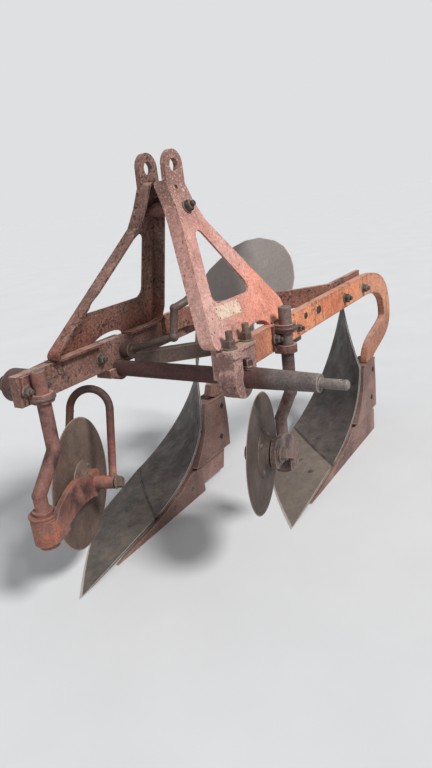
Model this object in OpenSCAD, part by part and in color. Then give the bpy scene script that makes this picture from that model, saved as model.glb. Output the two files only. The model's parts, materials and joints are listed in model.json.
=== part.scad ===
// Two-bottom mounted moldboard plough, millimetres, +Z up.
// +X is the plough's left side, -Y is the direction of travel, Z = 0 is the sole the shares and landsides rest on.

/* [Bottoms] */
// Sideways spacing of the two bottoms, which is the width of one furrow
furrow_width = 356; // [280:5:420]
// How far the rear bottom stands behind the front one
bottom_stagger = 480; // [400:10:600]
// Where the rear share point stands behind the hitch axis
rear_point_y = 215; // [150:5:300]
// Thickness of the moldboard sheet
board_thick = 6; // [4:0.5:10]
// Thickness of the share blade
share_thick = 9; // [6:0.5:14]
// How far the top of the moldboard wing stands above the sole
wing_top = 470; // [400:10:520]
// Length of the front landside
landside_front = 590; // [450:10:700]
// Length of the rear landside, with its heel
landside_rear = 760; // [600:10:850]
// Height of the landside plates
landside_h = 90; // [60:5:120]
// Thickness of the landside plates
landside_t = 12; // [8:1:20]

/* [Beams] */
// Thickness of the beam bars, side to side
beam_thick = 25; // [18:1:32]
// Height of the beam bars
beam_depth = 70; // [55:1:72]
// Height of the top of the beams above the cross shaft
beam_rise = 75; // [70:1:90]
// Distance from the share point back to the middle of the frog
frog_back = 690; // [600:10:760]
// How far the gooseneck of the beam bulges behind the frog
neck_bulge = 258; // [120:2:262]

/* [Hitch] */
// Height of the cross shaft and of the left lower hitch pin
hitch_height = 525; // [500:5:535]
// Diameter of the lower hitch pins
hitch_pin_d = 22; // [19:0.5:28.5]
// Distance from the middle plane to the shoulder of each lower hitch pin
shoulder_x = 385; // [350:5:420]
// Length of each lower hitch pin outside its shoulder
hitch_pin_len = 62; // [50:1:80]
// Diameter of the cross shaft between the brackets
shaft_d = 40; // [32:1:42]
// Diameter of the cross shaft where the left bracket holds it
shaft_big_d = 50; // [42:1:50]
// How far ahead of the shaft the right hitch pin is cranked
crank_throw = 180; // [100:5:220]
// Height of the mast eyes above the cross shaft
mast_height = 465; // [430:5:520]
// Bore of the mast eyes for the top link pin
eye_bore = 30; // [19:0.5:38]
// Distance from the middle plane to the middle of each mast eye plate
eye_half = 36; // [28:1:50]
// Thickness of the mast eye plates
eye_t = 12; // [8:1:16]
// Thickness of the pressed mast plates
mast_t = 6; // [5:0.5:10]
// Width of the folded flange of the mast plates
mast_flange = 30; // [20:1:45]

/* [Coulters] */
// Diameter of the coulter discs
disc_d = 340; // [300:5:380]
// Thickness of the coulter discs
disc_t = 5; // [4:0.5:8]
// Diameter of the coulter stems
stem_d = 32; // [25:1:38]
// Sideways crank of the coulter stems
stem_throw = 60; // [40:2:80]
// Distance from the swivel axis to the disc axle
coulter_trail = 212; // [208:1:230]
// Height of the front coulter disc axle above the sole
axle_height = 254; // [250:2:268]
// Height of the rear coulter disc axle above the sole
rear_axle = 332; // [322:1:334]
// Diameter of the rear coulter disc
rear_disc_d = 292; // [260:2:300]
// Diameter of the round bar of the coulter forks
fork_d = 20; // [16:1:24]
// Diameter of the coulter axles
axle_d = 20; // [16:1:24]
// Running clearance on the radius of the turning joints
run_fit = 0.08; // [0.03:0.01:0.1]
// Turn of the front coulter about its swivel at rest, degrees from trailing
front_turn = 22; // [10:1:24]
// Turn of the rear coulter about its swivel at rest, degrees from trailing
rear_turn = 194; // [185:1:199]

/* [Hidden] */
rust = [0.42, 0.26, 0.2];
dark = [0.28, 0.25, 0.23];
paint = [0.78, 0.38, 0.24];
steel = [0.5, 0.46, 0.42];
xr = furrow_width / 2;
xf = -xr;
front_point_y = rear_point_y - bottom_stagger;
beam_top = hitch_height + beam_rise;
beam_low = beam_top - beam_depth;
beam_mid = beam_top - beam_depth / 2;
eye_z = hitch_height + mast_height;
eye_y = 60;
pin_nose = 4;
frog_top = 290;
seat = 0.3;
mid_x = 0.000;
mid_y = 397.992;
front_clamp_y = -275;
rear_clamp_y = 205;
stem_x = beam_thick / 2 + 8 + stem_d / 2;
front_cup = 222;
rear_cup = 198;
cup_h = 68;
hub_w = 44;
fork_near = 84;
fork_far = 42;
fork_out = 88;
fork_in = 20;
fork_lean = 16;
arm_in = 26;
arm_t = 12;
arm_hump = 44;
hoop_r = (fork_out + fork_in) / 2;
fork_rise = disc_d / 2 + 16;
bn = 14;
bm = 12;

// Helpers
module placed(c) {
  color(c)
    translate([-mid_x, -mid_y, 0])
      children();
}
module bar(p, q, d) {
  v = q - p;
  l = norm(v);
  translate(p)
    rotate([0, acos(v[2] / l), atan2(v[1], v[0])])
      cylinder(d = d, h = l, $fn = 48);
}
module ball(p, d) {
  translate(p)
    sphere(d = d, $fn = 48);
}
// A profile drawn in the (Y, Z) plane and given a thickness along X
module slab(x, t) {
  translate([x, 0, 0])
    rotate([90, 0, 90])
      linear_extrude(height = t)
        children();
}
function bez(a, t) = let (s = 1 - t) s * s * s * a[0] + 3 * s * s * t * a[1] + 3 * s * t * t * a[2] + t * t * t * a[3];
function patch(g, u, v) = bez([for (r = g) bez(r, v)], u);
function unit(v) = v / norm(v);
function nrm(g, u, v) = let (e = 0.01, ua = min(u + e, 1), ub = max(u - e, 0), va = min(v + e, 1), vb = max(v - e, 0))
  unit(cross(patch(g, ua, v) - patch(g, ub, v), patch(g, u, va) - patch(g, u, vb)));
// Faces of a closed sheet made of two grids of (n + 1) by (m + 1) points
function sheet_faces(n, m) = let (w = m + 1, k = (n + 1) * w) concat(
  [for (i = [0:n - 1], j = [0:m - 1]) each [[i * w + j, i * w + j + 1, (i + 1) * w + j], [(i + 1) * w + j, i * w + j + 1, (i + 1) * w + j + 1]]],
  [for (i = [0:n - 1], j = [0:m - 1]) each [[k + i * w + j, k + (i + 1) * w + j, k + i * w + j + 1], [k + (i + 1) * w + j, k + (i + 1) * w + j + 1, k + i * w + j + 1]]],
  [for (i = [0:n - 1]) each [[i * w, (i + 1) * w, k + i * w], [(i + 1) * w, k + (i + 1) * w, k + i * w]]],
  [for (i = [0:n - 1]) each [[i * w + m, k + i * w + m, (i + 1) * w + m], [(i + 1) * w + m, k + i * w + m, k + (i + 1) * w + m]]],
  [for (j = [0:m - 1]) each [[j, k + j, j + 1], [j + 1, k + j, k + j + 1]]],
  [for (j = [0:m - 1]) each [[n * w + j, n * w + j + 1, k + n * w + j], [n * w + j + 1, k + n * w + j + 1, k + n * w + j]]]);

// Moldboard surface: control points from the share point, rows from shin to wing, columns from bottom to top
wt = wing_top;
board = [
  [[-2, 330, 46], [-2, 480, 74], [-2, 612, 150], [-2, 620, 285]],
  [[-80, 392, 54], [-102, 575, 88], [-84, 700, 190], [-52, 690, 345]],
  [[-160, 462, 60], [-188, 750, 114], [-165, 850, 255], [-98, 755, 410]],
  [[-235, 545, 64], [-250, 890, 122], [-235, 1010, 300], [-142, 845, wt]]
];
module sheet(g, back_by, face_by, n, m) {
  back = [for (i = [0:n], j = [0:m]) patch(g, i / n, j / m) + back_by * nrm(g, i / n, j / m)];
  face = [for (i = [0:n], j = [0:m]) patch(g, i / n, j / m) + face_by * nrm(g, i / n, j / m)];
  polyhedron(points = concat(back, face), faces = sheet_faces(n, m), convexity = 6);
}
module moldboard() {
  sheet(board, board_thick, 0, bn, bm);
}

// Share: a wedge from the cutting edge back to the seam under the moldboard
module share() {
  n = 6;
  top = [for (i = [0:n]) patch(board, i / n, 0) - [0, seat, 0]];
  edge = [for (i = [0:n]) [-235 * i / n, 326 * i / n - 14 * sin(180 * i / n), 0]];
  under = [for (i = [0:n]) patch(board, i / n, 0) - [0, 6 + seat, share_thick + 3]];
  heel = [for (i = [0:n]) edge[i] + [0, 26, 0]];
  p = concat(edge, top, under, heel);
  w = n + 1;
  polyhedron(points = p, faces = concat(
    [for (i = [0:n - 1]) each [[i, w + i, i + 1], [i + 1, w + i, w + i + 1]]],
    [for (i = [0:n - 1]) each [[w + i, 2 * w + i, w + i + 1], [w + i + 1, 2 * w + i, 2 * w + i + 1]]],
    [for (i = [0:n - 1]) each [[2 * w + i, 3 * w + i, 2 * w + i + 1], [2 * w + i + 1, 3 * w + i, 3 * w + i + 1]]],
    [for (i = [0:n - 1]) each [[3 * w + i, i, 3 * w + i + 1], [3 * w + i + 1, i, i + 1]]],
    [[0, 3 * w, w], [3 * w, 2 * w, w]],
    [[n, w + n, 3 * w + n], [3 * w + n, w + n, 2 * w + n]]), convexity = 4);
}

// Landside: a bar on the sole beside the furrow wall, tapered at the point
module landside(len) {
  slab(-landside_t, landside_t)
    polygon([[150, 0], [len, 0], [len, landside_h - 10], [len - 30, landside_h], [530, landside_h], [470, 60], [350, 30], [250, 16]]);
}

// Frog: the casting that ties share, moldboard, landside and beam
module frog() {
  difference() {
    union() {
      slab(-landside_t - 34, 34 - seat)
        polygon([[352, 18], [frog_back + 40, 18], [frog_back + 60, 100], [frog_back + 62, 200], [frog_back + 55, frog_top - seat], [630, frog_top - seat], [624, 250], [600, 190], [540, 126], [470, 82], [380, 50]]);
      slab(-landside_t - 34, landside_t + 34 + beam_thick / 2)
        polygon([[545, landside_h + 12], [frog_back + 60, landside_h + 12], [frog_back + 62, 200], [frog_back + 55, frog_top - seat], [630, frog_top - seat], [612, 200], [582, 150]]);
      slab(-landside_t - 110, 78)
        polygon([[500, 30], [600, 30], [690, 150], [690, 210], [620, 150], [580, 105], [500, 74]]);
    }
    sheet(board, board_thick + 2 * seat, -70, bn, bm);
  }
}
module at_front() {
  translate([xf, front_point_y, 0])
    children();
}
module at_rear() {
  translate([xr, rear_point_y, 0])
    children();
}
module front_share() {
  placed(dark)
    at_front()
      share();
}
module front_moldboard() {
  placed(dark)
    at_front()
      moldboard();
}
module front_frog() {
  placed(rust)
    at_front()
      frog();
}
module front_landside() {
  placed(rust)
    at_front()
      landside(landside_front);
}
module rear_share() {
  placed(dark)
    at_rear()
      share();
}
module rear_moldboard() {
  placed(dark)
    at_rear()
      moldboard();
}
module rear_frog() {
  placed(rust)
    at_rear()
      frog();
}
module rear_landside() {
  placed(rust)
    at_rear()
      landside(landside_rear);
}

// Beam: a flat bar that runs back level and turns down in a gooseneck to the frog
function neck_mid(y) = let (b = neck_bulge - beam_depth / 2, top = beam_mid) concat(
  [for (i = [0:9]) bez([[y - 120, top], [y + 20, top], [y + b, top + 10], [y + b, top - 150]], i / 9)],
  [for (i = [1:8]) bez([[y + b, top - 150], [y + b, top - 225], [y + 4, frog_top + 70], [y + 4, frog_top]], i / 8)]);
function neck_dir(p, i) = unit(p[min(i + 1, len(p) - 1)] - p[max(i - 1, 0)]);
module beam(x, y0, yf) {
  mid = concat([[y0, beam_mid]], neck_mid(yf));
  n = len(mid);
  hw = beam_depth / 2;
  outer = [for (i = [0:n - 1]) mid[i] + hw * [-neck_dir(mid, i)[1], neck_dir(mid, i)[0]]];
  inner = [for (i = [n - 1:-1:0]) mid[i] - hw * [-neck_dir(mid, i)[1], neck_dir(mid, i)[0]]];
  slab(x - beam_thick / 2, beam_thick)
    intersection() {
      polygon(concat(outer, inner));
      translate([y0, frog_top])
        square([3000, 1000]);
    }
}
module front_beam() {
  placed(rust)
    difference() {
      beam(xf, front_clamp_y - 40, front_point_y + frog_back);
      translate([xf - 50, 0, hitch_height])
        rotate([0, 90, 0])
          cylinder(r = shaft_d / 2 + seat, h = 100, $fn = 64);
    }
}
module rear_beam() {
  placed(paint)
    beam(xr, 50 + seat, rear_point_y + frog_back);
}

// Brace between the beams, seen above the rear beam
module beam_brace() {
  a = xr - beam_thick / 2 - seat;
  b = xf + beam_thick / 2 + seat;
  yf = front_point_y + frog_back - 225;
  yr = rear_point_y + frog_back - 5;
  placed(rust)
    translate([0, 0, beam_low + 30])
      linear_extrude(height = 56)
        polygon([[a, yr], [a, yr - 268], [b + 14, yf + 96], [b + 14, yf], [b, yf], [b, yf + 104], [a - 14, yr - 260], [a - 14, yr]]);
}
// Flat tapered bar below the crank
module draft_bar() {
  placed(steel)
    translate([0, 0, beam_low - 26])
      linear_extrude(height = 40)
        polygon([[xf + beam_thick / 2 + seat, 64], [xf + beam_thick / 2 + seat, 104], [60, 300], [xr - beam_thick / 2 - seat, 400], [xr - beam_thick / 2 - seat, 370], [70, 278]]);
}

// Rounded sheet standing behind the front gooseneck
module trash_shield() {
  y = front_point_y + frog_back + neck_bulge + seat;
  placed(dark)
    translate([xf, y, beam_top])
      rotate([90, 0, 0])
        mirror([0, 0, 1])
          linear_extrude(height = 6)
            offset(r = 30, $fn = 48)
              offset(delta = -30)
                polygon([[-166, -5], [-162, 24], [-123, 65], [-73, 101], [-16, 139], [32, 157], [86, 164], [143, 151], [173, 131], [192, 101], [200, 69], [201, 30], [191, -5], [166, -48], [60, -90], [34, -130], [34, -250], [-34, -250], [-34, -130], [-90, -90]]);
}

// Mast plates: leaning pressed plates with folded edges and a window
module plate_outline(yf, yb) {
  offset(r = 16, $fn = 32)
    offset(delta = -16)
      polygon([[yf, beam_top + seat], [yb, beam_top + seat], [yb, beam_top + 46], [eye_y + 52, eye_z - 126], [eye_y + 38, eye_z - 84], [eye_y + 35, eye_z - 30], [eye_y - 35, eye_z - 30], [eye_y - 38, eye_z - 84], [eye_y - 48, eye_z - 126]]);
}
module plate_window(yf, yb) {
  polygon([[yf + 70, beam_top + 88], [yb - 76, beam_top + 88], [yb - 76, beam_top + 112], [eye_y + 10, eye_z - 142], [eye_y - 10, eye_z - 142]]);
}
module mast_plate(yf, yb, side) {
  lean = (xr - eye_half) / (eye_z - 40 - beam_top);
  mirror([side > 0 ? 0 : 1, 0, 0])
    difference() {
      union() {
        multmatrix([[1, 0, -lean, lean * beam_top], [0, 1, 0, 0], [0, 0, 1, 0]])
          difference() {
            slab(xr - mast_flange, mast_flange + mast_t)
              plate_outline(yf, yb);
            slab(xr - mast_flange - 1, mast_flange + 1)
              offset(delta = -mast_t)
                plate_outline(yf, yb);
            slab(xr - mast_flange - 1, mast_flange + mast_t + 2)
              offset(r = 18, $fn = 32)
                offset(delta = -18)
                  plate_window(yf, side > 0 ? yb - 48 : yb);
            translate([xr - mast_flange - 1, (yf + yb) / 2 + 20, beam_top])
              rotate([0, 90, 0])
                scale([0.62, 1.7, 1])
                  cylinder(d = 66, h = mast_flange + mast_t + 2, $fn = 64);
          }
        translate([eye_half - eye_t / 2, 0, 0])
          slab(0, eye_t)
            union() {
              translate([eye_y, eye_z])
                circle(r = 34, $fn = 64);
              polygon([[eye_y - 34, eye_z], [eye_y + 34, eye_z], [eye_y + 36, eye_z - 66], [eye_y - 36, eye_z - 66]]);
            }
      }
      translate([eye_half - 30, eye_y, eye_z])
        rotate([0, 90, 0])
          cylinder(d = eye_bore, h = 60, $fn = 64);
    }
}
module mast_plate_left() {
  placed(paint)
    mast_plate(-75, 285, 1);
}
module mast_plate_right() {
  placed(rust)
    mast_plate(-230, 180, -1);
}
module mast_bolt() {
  z = eye_z - 92;
  half = xr - (z + 15 - beam_top) * (xr - eye_half) / (eye_z - 40 - beam_top) - seat;
  placed(rust)
    translate([0, eye_y, z])
      rotate([0, 90, 0])
        cylinder(d = 30, h = 2 * half, center = true, $fn = 48);
}

// Lower hitch pin with a chamfered end, reaching back by root
module pin(root) {
  translate([0, 0, -root])
    cylinder(d = hitch_pin_d, h = hitch_pin_len + root - pin_nose, $fn = 64);
  translate([0, 0, hitch_pin_len - pin_nose - 0.01])
    cylinder(d1 = hitch_pin_d, d2 = hitch_pin_d - 2 * pin_nose, h = pin_nose + 0.01, $fn = 64);
}
// Cross shaft with its cranked right end and both lower hitch pins
module cross_shaft() {
  arm_x = shoulder_x - 55;
  placed(steel)
    difference() {
      union() {
        translate([-arm_x, 0, hitch_height])
          rotate([0, 90, 0])
            cylinder(d = shaft_d, h = arm_x + xr - 18, $fn = 64);
        translate([xr - 30, 0, hitch_height])
          rotate([0, 90, 0])
            cylinder(d = shaft_big_d, h = 62, $fn = 64);
        translate([xr + 32, 0, hitch_height])
          rotate([0, 90, 0])
            cylinder(d1 = shaft_big_d, d2 = 40, h = shoulder_x - xr - 32, $fn = 64);
        translate([shoulder_x, 0, hitch_height])
          rotate([0, 90, 0])
            pin(0);
        slab(-arm_x - 10, 34)
          polygon([[30, hitch_height - 30], [30, hitch_height + 30], [-20, hitch_height + 36], [-crank_throw - 20, hitch_height + 24], [-crank_throw - 20, hitch_height - 24], [-20, hitch_height - 36]]);
        translate([-arm_x - 20, -crank_throw, hitch_height])
          rotate([0, 90, 0])
            cylinder(d = 84, h = 52, $fn = 64);
        translate([-shoulder_x, -crank_throw, hitch_height])
          rotate([0, 90, 0])
            cylinder(d1 = 44, d2 = 60, h = 40, $fn = 64);
        translate([-shoulder_x, -crank_throw, hitch_height])
          rotate([0, -90, 0])
            pin(10);
      }
      for (s = [[shoulder_x + hitch_pin_len - 14, 0], [-shoulder_x - hitch_pin_len + 14, -crank_throw]])
        translate([s[0], s[1], hitch_height - 30])
          cylinder(d = 11, h = 60, $fn = 32);
    }
}
module shaft_bracket_left() {
  placed(rust)
    difference() {
      union() {
        slab(xr - 24, 56)
          polygon([[-48, hitch_height + 4], [50, hitch_height + 4], [50, beam_top], [-48, beam_top]]);
        translate([xr - 24, 0, hitch_height])
          rotate([0, 90, 0])
            cylinder(d = shaft_big_d + 20, h = 56, $fn = 64);
        slab(xr - 4, 42)
          difference() {
            offset(r = 9, $fn = 32)
              offset(delta = -9)
                union() {
                  polygon([[-58, hitch_height], [-42, hitch_height], [-42, beam_top - 20], [50, beam_top - 20], [50, beam_top], [-58, beam_top]]);
                  translate([-16, hitch_height])
                    circle(r = 42, $fn = 64);
                }
            translate([-20, hitch_height + 6])
              square([80, beam_rise - 14]);
          }
      }
      translate([xr - 40, 0, hitch_height])
        rotate([0, 90, 0])
          cylinder(r = shaft_big_d / 2 + seat / 2, h = 80, $fn = 64);
      for (y = [-36, 36])
        translate([xr + 20, y, hitch_height - 60])
          cylinder(r = 8 + seat / 2, h = 200, $fn = 40);
    }
}
module shaft_bracket_right() {
  placed(rust)
    difference() {
      union() {
        slab(xf - 24, 48)
          intersection() {
            union() {
              polygon([[-44, hitch_height - 16], [44, hitch_height - 16], [44, beam_low - seat], [-44, beam_low - seat]]);
              translate([0, hitch_height])
                circle(r = shaft_d / 2 + 10, $fn = 64);
            }
            translate([-60, hitch_height - 100])
              square([120, 100 + beam_low - seat - hitch_height]);
          }
        slab(xf - 24, 24 - beam_thick / 2 - seat)
          polygon([[-44, beam_low - 20], [44, beam_low - 20], [44, beam_top], [-44, beam_top]]);
      }
      translate([xf - 40, 0, hitch_height])
        rotate([0, 90, 0])
          cylinder(r = shaft_d / 2 + seat / 2, h = 80, $fn = 64);
    }
}
module bracket_studs() {
  placed(steel)
    for (y = [-36, 36])
      translate([xr + 20, y, hitch_height - 30]) {
        cylinder(d = 16, h = beam_top - hitch_height + 70, $fn = 40);
        translate([0, 0, beam_top - hitch_height + 30 + seat])
          cylinder(d = 27, h = 16, $fn = 6);
      }
}
module adjusting_crank() {
  a = [xf + beam_thick / 2 + seat, 30, beam_low + 34];
  a2 = a + [26, 4, 1];
  b = [-30, 70, beam_low + 62];
  c = [-24, 80, beam_low + 132];
  d = [-4, 116, beam_low + 146];
  placed(steel) {
    translate(a)
      rotate([0, 90, 0])
        cylinder(d = 38, h = 28, $fn = 48);
    bar(a2, b, 18);
    ball(b, 26);
    bar(b, c, 20);
    ball(c, 23);
    bar(c, d, 20);
    ball(d, 23);
  }
}

// Coulters
module clamp_at(x, y, rings) {
  c = stem_x - beam_thick / 2 - seat;
  translate([x + beam_thick / 2 + seat, y, 0])
    difference() {
      union() {
        translate([0, -32, beam_low + 3])
          cube([6, 64, beam_depth - 6]);
        for (z = rings)
          translate([0, 0, z]) {
            translate([c, 0, 0])
              cylinder(r = stem_d / 2 + 9, h = 20, $fn = 64);
            translate([0, -stem_d / 2 - 7, 0])
              cube([c, stem_d + 14, 20]);
          }
      }
      translate([c, 0, beam_low - 40])
        cylinder(r = stem_d / 2 + seat / 2, h = beam_depth + 80, $fn = 64);
      translate([-20, -50, beam_low - 40])
        cube([20, 100, beam_depth + 80]);
    }
}
module stem_at(x, y, dx, dy, top, cup) {
  p = [x + stem_x, y, 0];
  q = p + [dx, dy, 0];
  placed(rust) {
    translate([p[0], p[1], 420])
      cylinder(d = stem_d, h = top - 420, $fn = 64);
    ball([p[0], p[1], 420], stem_d + 1.6);
    bar([p[0], p[1], 420], [q[0], q[1], 335], stem_d);
    ball([q[0], q[1], 335], stem_d + 1.6);
    translate([q[0], q[1], cup - 16])
      cylinder(d = stem_d, h = 335 - cup + 16, $fn = 64);
    translate([q[0], q[1], cup + cup_h + 0.6])
      cylinder(d = stem_d + 14, h = 10, $fn = 64);
    translate([q[0], q[1], cup - 0.6 - 12])
      cylinder(d = stem_d + 14, h = 12, $fn = 64);
  }
}
// Arm of a fork: a hump that leaves the cup and comes down round the axle
module arm_outline(cup, ah) {
  top = [for (i = [0:8]) let (t = i / 8) [6 + (coulter_trail - 6) * t, cup + cup_h - 6 + (ah - cup - cup_h + 6) * t + arm_hump * sin(18 + 132 * t)]];
  low = [for (i = [8:-1:0]) let (t = i / 8) [coulter_trail * t, cup + 12 + (ah - 34 - cup - 12) * t + 16 * sin(180 * t)]];
  offset(r = 8, $fn = 40)
    offset(delta = -8) {
      polygon(concat([[-22, cup + 18], [-20, cup + cup_h - 14]], top, low));
      translate([coulter_trail, ah])
        circle(r = 35, $fn = 64);
    }
}
module yoke_at(q, turn, cup, ah, hoop) {
  near = hoop ? fork_near : arm_in + arm_t;
  far = hoop ? fork_far + 12 : hub_w / 2 + 20;
  translate([q[0], q[1], 0])
    rotate([0, 0, turn])
      mirror([hoop ? 0 : 1, 0, 0]) {
        difference() {
          translate([0, 0, cup])
            cylinder(d = stem_d + 32, h = cup_h, $fn = 64);
          translate([0, 0, cup - 10])
            cylinder(r = stem_d / 2 + run_fit, h = cup_h + 60, $fn = 64);
        }
        if (hoop)
          translate([0, coulter_trail, ah])
            rotate([-fork_lean, 0, 0]) {
              bar([-fork_far, 0, 0], [-fork_in, 0, fork_rise], fork_d);
              bar([fork_near, 0, 0], [fork_out, 0, fork_rise], fork_d);
              ball([-fork_in, 0, fork_rise], fork_d + 0.8);
              ball([fork_out, 0, fork_rise], fork_d + 0.8);
              translate([(fork_out - fork_in) / 2, 0, fork_rise])
                rotate([90, 0, 0])
                  rotate_extrude(angle = 180, $fn = 64)
                    translate([hoop_r, 0])
                      circle(d = fork_d, $fn = 40);
            }
        translate([-far, coulter_trail, ah])
          rotate([0, 90, 0])
            cylinder(d = axle_d, h = far + near + 14, $fn = 48);
        translate([hub_w / 2 + 0.6, coulter_trail, ah])
          rotate([0, 90, 0])
            cylinder(d = 34, h = near - hub_w / 2 + 4, $fn = 48);
        translate([-far + 2, coulter_trail, ah])
          rotate([0, 90, 0])
            cylinder(d = 34, h = far - hub_w / 2 - 2.6, $fn = 48);
        slab(arm_in, arm_t)
          arm_outline(cup, ah);
        translate([0, 0, cup + 6])
          linear_extrude(height = cup_h - 14)
            polygon([[18, -27], [30, -26], [arm_in + arm_t - 1, -14], [arm_in + arm_t - 1, 36], [arm_in + 1, 44], [20, 27]]);
      }
}
module disc_at(q, turn, ah, d) {
  translate([q[0], q[1], 0])
    rotate([0, 0, turn])
      translate([0, coulter_trail, ah])
        rotate([0, 90, 0])
          difference() {
            union() {
              cylinder(d = d - 24, h = disc_t, center = true, $fn = 128);
              for (s = [0, 1])
                mirror([0, 0, s])
                  cylinder(d1 = d, d2 = d - 24, h = disc_t / 2, $fn = 128);
              cylinder(d = 66, h = hub_w, center = true, $fn = 64);
            }
            cylinder(r = axle_d / 2 + run_fit, h = hub_w + 20, center = true, $fn = 64);
          }
}
front_q = [xf + stem_x - 6, front_clamp_y - stem_throw, 0];
rear_q = [xr + stem_x - stem_throw + 16, rear_clamp_y + 20, 0];
module front_coulter_clamp() {
  placed(rust)
    clamp_at(xf, front_clamp_y, [beam_low + 4]);
}
module front_coulter_stem() {
  stem_at(xf, front_clamp_y, front_q[0] - xf - stem_x, front_q[1] - front_clamp_y, beam_top + 4, front_cup);
}
module front_coulter_yoke() {
  placed(paint)
    yoke_at(front_q, front_turn, front_cup, axle_height, true);
}
module front_coulter_disc() {
  placed(dark)
    disc_at(front_q, front_turn, axle_height, disc_d);
}
module rear_coulter_clamp() {
  placed(rust)
    clamp_at(xr, rear_clamp_y, [beam_low - 4, beam_top - 22]);
}
module rear_coulter_stem() {
  stem_at(xr, rear_clamp_y, rear_q[0] - xr - stem_x, rear_q[1] - rear_clamp_y, beam_top + 40, rear_cup);
}
module rear_coulter_yoke() {
  placed(rust)
    yoke_at(rear_q, rear_turn, rear_cup, rear_axle, false);
}
module rear_coulter_disc() {
  placed(dark)
    disc_at(rear_q, rear_turn, rear_axle, rear_disc_d);
}

front_beam();
rear_beam();
beam_brace();
draft_bar();
trash_shield();
mast_plate_left();
mast_plate_right();
mast_bolt();
cross_shaft();
shaft_bracket_left();
shaft_bracket_right();
bracket_studs();
adjusting_crank();
front_share();
front_moldboard();
front_frog();
front_landside();
rear_share();
rear_moldboard();
rear_frog();
rear_landside();
front_coulter_clamp();
front_coulter_stem();
front_coulter_yoke();
front_coulter_disc();
rear_coulter_clamp();
rear_coulter_stem();
rear_coulter_yoke();
rear_coulter_disc();
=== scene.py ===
import json
import math
import random
import bmesh
import bpy
from mathutils import Matrix, Vector, noise


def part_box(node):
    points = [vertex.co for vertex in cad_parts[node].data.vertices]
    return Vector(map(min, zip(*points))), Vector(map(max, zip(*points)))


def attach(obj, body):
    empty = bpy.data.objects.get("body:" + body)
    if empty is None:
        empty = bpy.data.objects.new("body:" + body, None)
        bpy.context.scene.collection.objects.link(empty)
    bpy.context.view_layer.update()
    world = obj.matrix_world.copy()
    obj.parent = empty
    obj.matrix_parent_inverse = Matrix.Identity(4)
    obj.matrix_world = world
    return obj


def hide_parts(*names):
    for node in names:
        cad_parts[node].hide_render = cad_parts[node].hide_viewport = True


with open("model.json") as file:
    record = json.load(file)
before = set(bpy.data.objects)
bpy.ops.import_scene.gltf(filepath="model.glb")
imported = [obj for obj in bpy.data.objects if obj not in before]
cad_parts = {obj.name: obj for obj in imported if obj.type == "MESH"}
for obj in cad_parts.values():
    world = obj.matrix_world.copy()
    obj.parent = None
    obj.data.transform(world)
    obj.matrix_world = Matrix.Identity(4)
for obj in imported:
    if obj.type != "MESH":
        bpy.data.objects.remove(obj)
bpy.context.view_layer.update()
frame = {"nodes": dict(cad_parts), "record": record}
nodes = frame["nodes"]
rnd = random.Random(11)

# Places below are in millimetres from the plough's own origin: X = 0 between the bottoms,
# Y = 0 on the cross shaft, Z = 0 on the sole. The mast bolt's middle is at (0, 60) there.
bolt_lo, bolt_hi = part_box("mast_bolt")
SHIFT = Vector(((bolt_lo.x + bolt_hi.x) / 2, (bolt_lo.y + bolt_hi.y) / 2 - 0.060, 0))


def mm(x, y, z):
    return Vector((x, y, z)) / 1000 + SHIFT


# Beams: the middle of each, then their section, the gooseneck and the frogs' seats.
XR, XF = 178, -178
BEAM_T, BEAM_TOP, BEAM_DEPTH = 25, 600, 70
BOLT_LINE, NECK_START = 566, 50.3
NECK_BULGE, FROG_TOP, FROG_BACK, FROG_FACE_X = 258, 290, 690, -47
REAR_TIP, FRONT_TIP = (XR, 215, 0), (XF, -265, 0)
BOTTOMS = (("front", FRONT_TIP), ("rear", REAR_TIP))
# Mast: its plates lean from the beams up to the top link eyes.
HITCH_Z, MAST_EYE_Z, EYE_Y, EYE_X, MAST_T = 525, 990, 60, 36, 6
LEAN = (XR - EYE_X) / (MAST_EYE_Z - 40 - BEAM_TOP)
# Coulters: clamps, swivel axes, turns at rest, trail, axles and their ends, tops of the cups, nuts and rivets.
FRONT_CLAMP_Y, REAR_CLAMP_Y, STEM_X = -275, 205, 36.5
FRONT_Q, REAR_Q = (XF + STEM_X - 6, FRONT_CLAMP_Y - 60), (XR + STEM_X - 44, REAR_CLAMP_Y + 20)
FRONT_TURN, REAR_TURN, TRAIL = 22, 194, 212
FRONT_AXLE, REAR_AXLE = 254, 332
FRONT_END, REAR_END = 94, 43
FRONT_CUP, REAR_CUP = 290, 266
CLAMP_NUT_Z, RIVET_CIRCLE = 565, 47
# In metres: the widths of the small rounded edges of the CAD's own nodes, and how near points are welded.
PLATE_EDGE, PLAIN_EDGE, WELD_GAP = 0.0028, 0.0016, 0.00002
UP, LEFT, RIGHT = (0, 0, 1), (1, 0, 0), (-1, 0, 0)


# ---------------------------------------------------------------- materials
def lin(r, g, b):
    """A colour written as 0-255 sRGB, turned into the linear values that a shader takes."""
    parts = [c / 255 for c in (r, g, b)]
    return (*(v / 12.92 if v <= 0.04045 else ((v + 0.055) / 1.055) ** 2.4 for v in parts), 1)


def grey(v):
    return (v, v, v, 1)


# The finished materials, by name.
M = {}


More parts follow.
